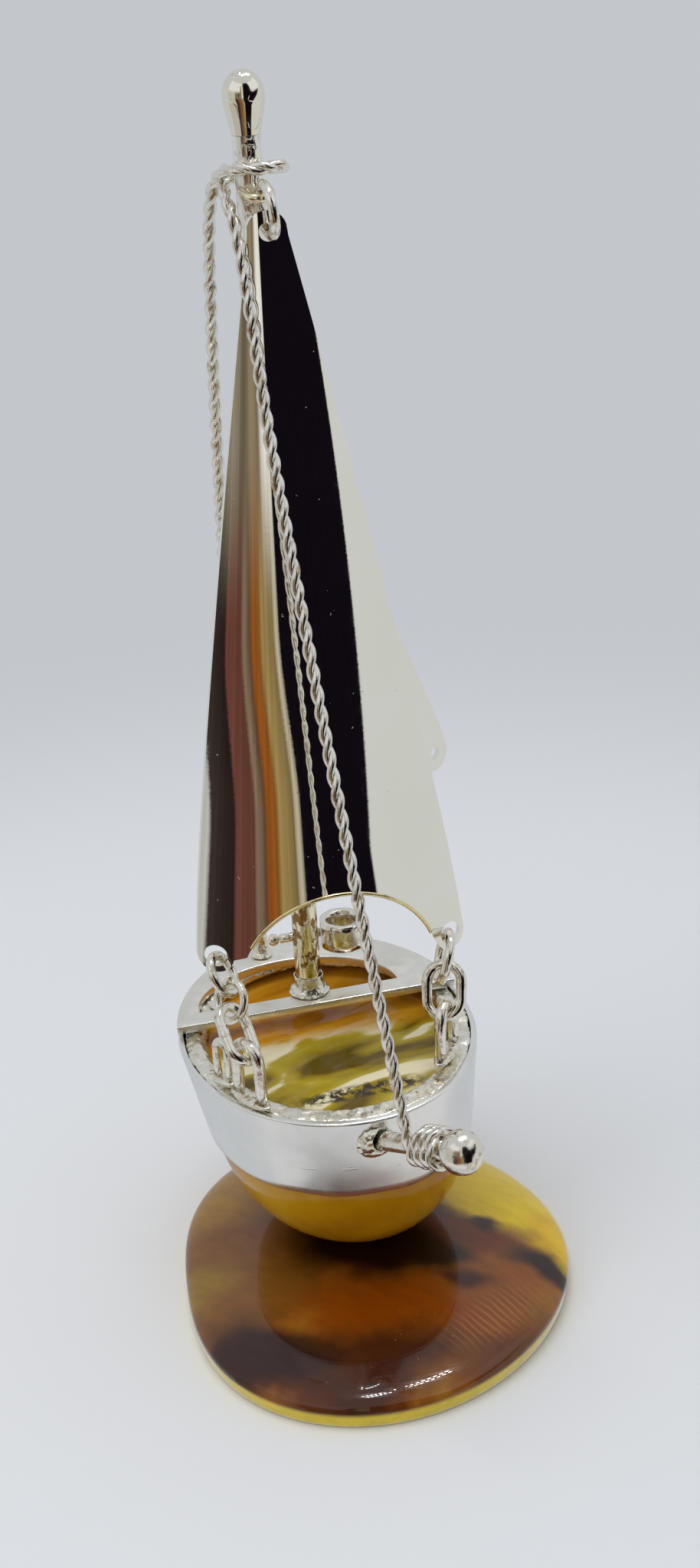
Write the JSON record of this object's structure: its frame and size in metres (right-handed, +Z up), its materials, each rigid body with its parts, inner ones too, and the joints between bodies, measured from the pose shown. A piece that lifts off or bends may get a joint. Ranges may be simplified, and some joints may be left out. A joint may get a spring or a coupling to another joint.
{
  "type": "model boat",
  "caption": "Miniature sailing boat: amber hull in a silver band on an amber foot, with mast, foresail, after sail, twisted stay and bowsprit.",
  "frame": {"origin": "under the middle of the foot, on the surface it stands on", "axes": "+Z up along the mast, -Y towards the bow, -X to port, +X to starboard"},
  "size_m": [0.0303, 0.0381, 0.0911],
  "materials": {
    "amber_cognac": "polished cognac amber",
    "amber_honey": "polished honey amber",
    "silver_polished": "polished silver",
    "silver_satin": "satin silver",
    "silver_solder": "rough silver solder",
    "silver_twist": "twisted silver wire",
    "clear_glue": "set glue"
  },
  "bodies": {
    "boat": {"base_stone": "amber_cognac", "glue_pad": "clear_glue", "hull_stone": "amber_honey", "hull_band": "silver_satin", "inner_rim": "silver_solder", "deck_plate": "silver_satin", "mast": "silver_polished", "mast_finial": "silver_polished", "mast_solder": "silver_solder", "mast_eye": "silver_polished", "bowsprit": "silver_polished", "bowsprit_ball": "silver_polished", "bowsprit_collar": "silver_solder", "stay_wire": "silver_twist", "stern_post": "silver_solder", "mast_pin": "silver_polished", "mast_pin_knob": "silver_polished", "strap_loop": "silver_polished", "staple_port": "silver_polished", "staple_solder_port": "silver_solder", "staple_starboard": "silver_polished", "staple_solder_starboard": "silver_solder", "rim_hook": "silver_polished", "rim_hook_solder": "silver_solder"},
    "foresail": {"foresail": "silver_polished"},
    "head_ring": {"head_ring": "silver_polished"},
    "port_low_link": {"port_low_link": "silver_polished"},
    "port_mid_ring": {"port_mid_ring": "silver_polished"},
    "port_clew_ring": {"port_clew_ring": "silver_polished"},
    "starboard_low_link": {"starboard_low_link": "silver_polished"},
    "starboard_clew_ring": {"starboard_clew_ring": "silver_polished"},
    "aft_sail": {"aft_sail": "silver_polished", "mast_hoop_low": "silver_polished", "mast_hoop_high": "silver_polished"}
  },
  "joints": [
    {"name": "foresail_sway", "type": "hinge", "parent": "boat", "child": "foresail", "pos_m": [-0.0012, 0.0071, 0.083], "axis": [-1, 0, 0], "range_deg": [0, 1.5]},
    {"name": "head_ring_sway", "type": "hinge", "parent": "boat", "child": "head_ring", "pos_m": [-0.0012, 0.0071, 0.083], "axis": [-1, 0, 0], "range_deg": [0, 1.5]},
    {"name": "port_low_link_swing", "type": "hinge", "parent": "boat", "child": "port_low_link", "pos_m": [-0.0088, -0.0039, 0.0253], "axis": [0.4627, -0.8865, 0], "range_deg": [0, 4.52]},
    {"name": "port_mid_ring_swing", "type": "hinge", "parent": "port_low_link", "child": "port_mid_ring", "pos_m": [-0.00967, -0.00106, 0.02667], "axis": [-0.8228, -0.4399, 0.3599], "range_deg": [-9.02, 0]},
    {"name": "port_clew_ring_swing", "type": "hinge", "parent": "foresail", "child": "port_clew_ring", "pos_m": [-0.0096, 0.00152, 0.0301], "axis": [0.8021, -0.325, 0.501], "range_deg": [0, 4.52]},
    {"name": "starboard_low_link_swing", "type": "hinge", "parent": "boat", "child": "starboard_low_link", "pos_m": [0.00655, -0.0025, 0.0248], "axis": [0.578, 0.816, 0], "range_deg": [-9.02, 0]},
    {"name": "starboard_clew_ring_swing", "type": "hinge", "parent": "foresail", "child": "starboard_clew_ring", "pos_m": [0.0081, 0.00114, 0.0289], "axis": [0.7838, 0.2869, -0.5508], "range_deg": [0, 4.52]},
    {"name": "aft_sail_swing", "type": "hinge", "parent": "boat", "child": "aft_sail", "pos_m": [-0.0012, 0.0095, 0.05], "axis": [0, 0, 1], "range_deg": [-45, 70]}
  ],
  "couplings": [
    {"joint": "head_ring_sway", "follows": "foresail_sway", "ratio": 1},
    {"joint": "port_low_link_swing", "follows": "foresail_sway", "ratio": 3},
    {"joint": "port_mid_ring_swing", "follows": "foresail_sway", "ratio": -6},
    {"joint": "port_clew_ring_swing", "follows": "foresail_sway", "ratio": 3},
    {"joint": "starboard_low_link_swing", "follows": "foresail_sway", "ratio": -6},
    {"joint": "starboard_clew_ring_swing", "follows": "foresail_sway", "ratio": 3}
  ]
}
